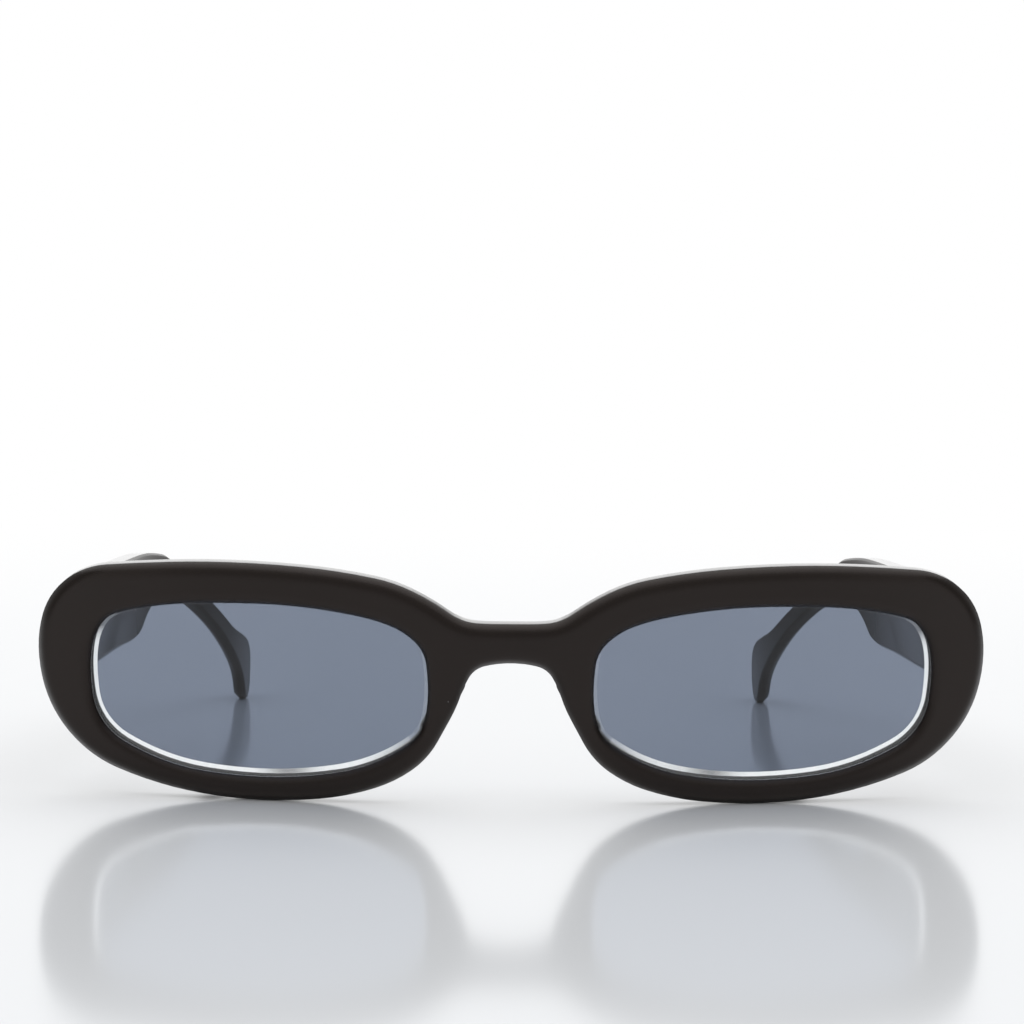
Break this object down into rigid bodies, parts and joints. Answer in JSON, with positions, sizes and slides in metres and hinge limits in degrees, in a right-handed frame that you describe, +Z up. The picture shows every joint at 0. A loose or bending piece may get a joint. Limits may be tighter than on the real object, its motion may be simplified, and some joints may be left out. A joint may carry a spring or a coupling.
{
  "type": "sunglasses",
  "caption": "Long rounded-rectangle sunglasses with a moulded plastic front, grey-blue lenses, and hinged temples that step down to curved ear ends.",
  "frame": {"origin": "on the table under the middle of the open sunglasses", "axes": "+X towards the wearer's left, +Y from the front towards the wearer's ears, +Z up; the wearer looks along -Y"},
  "size_m": [0.142, 0.1344, 0.0356],
  "materials": {
    "frame_plastic": "matte, with a faint grain",
    "lens_tint": "polished, grey-blue tint",
    "hinge_metal": "satin",
    "screw_metal": "turned"
  },
  "bodies": {
    "front": {"frame_front": "frame_plastic", "lens_right": "lens_tint", "lens_left": "lens_tint", "front_hinge_leaf_right": "hinge_metal", "front_hinge_leaf_left": "hinge_metal", "hinge_screw_right": "screw_metal", "hinge_screw_left": "screw_metal"},
    "temple_right": {"temple_right": "frame_plastic", "temple_hinge_leaf_right": "hinge_metal"},
    "temple_left": {"temple_left": "frame_plastic", "temple_hinge_leaf_left": "hinge_metal"}
  },
  "joints": [
    {"name": "fold_right", "type": "hinge", "parent": "front", "child": "temple_right", "pos_m": [-0.06455, -0.04937, 0.02399], "axis": [0, 0, -1], "range_deg": [0, 78]},
    {"name": "fold_left", "type": "hinge", "parent": "front", "child": "temple_left", "pos_m": [0.06455, -0.04937, 0.02399], "axis": [0, 0, 1], "range_deg": [-2, 83]}
  ]
}
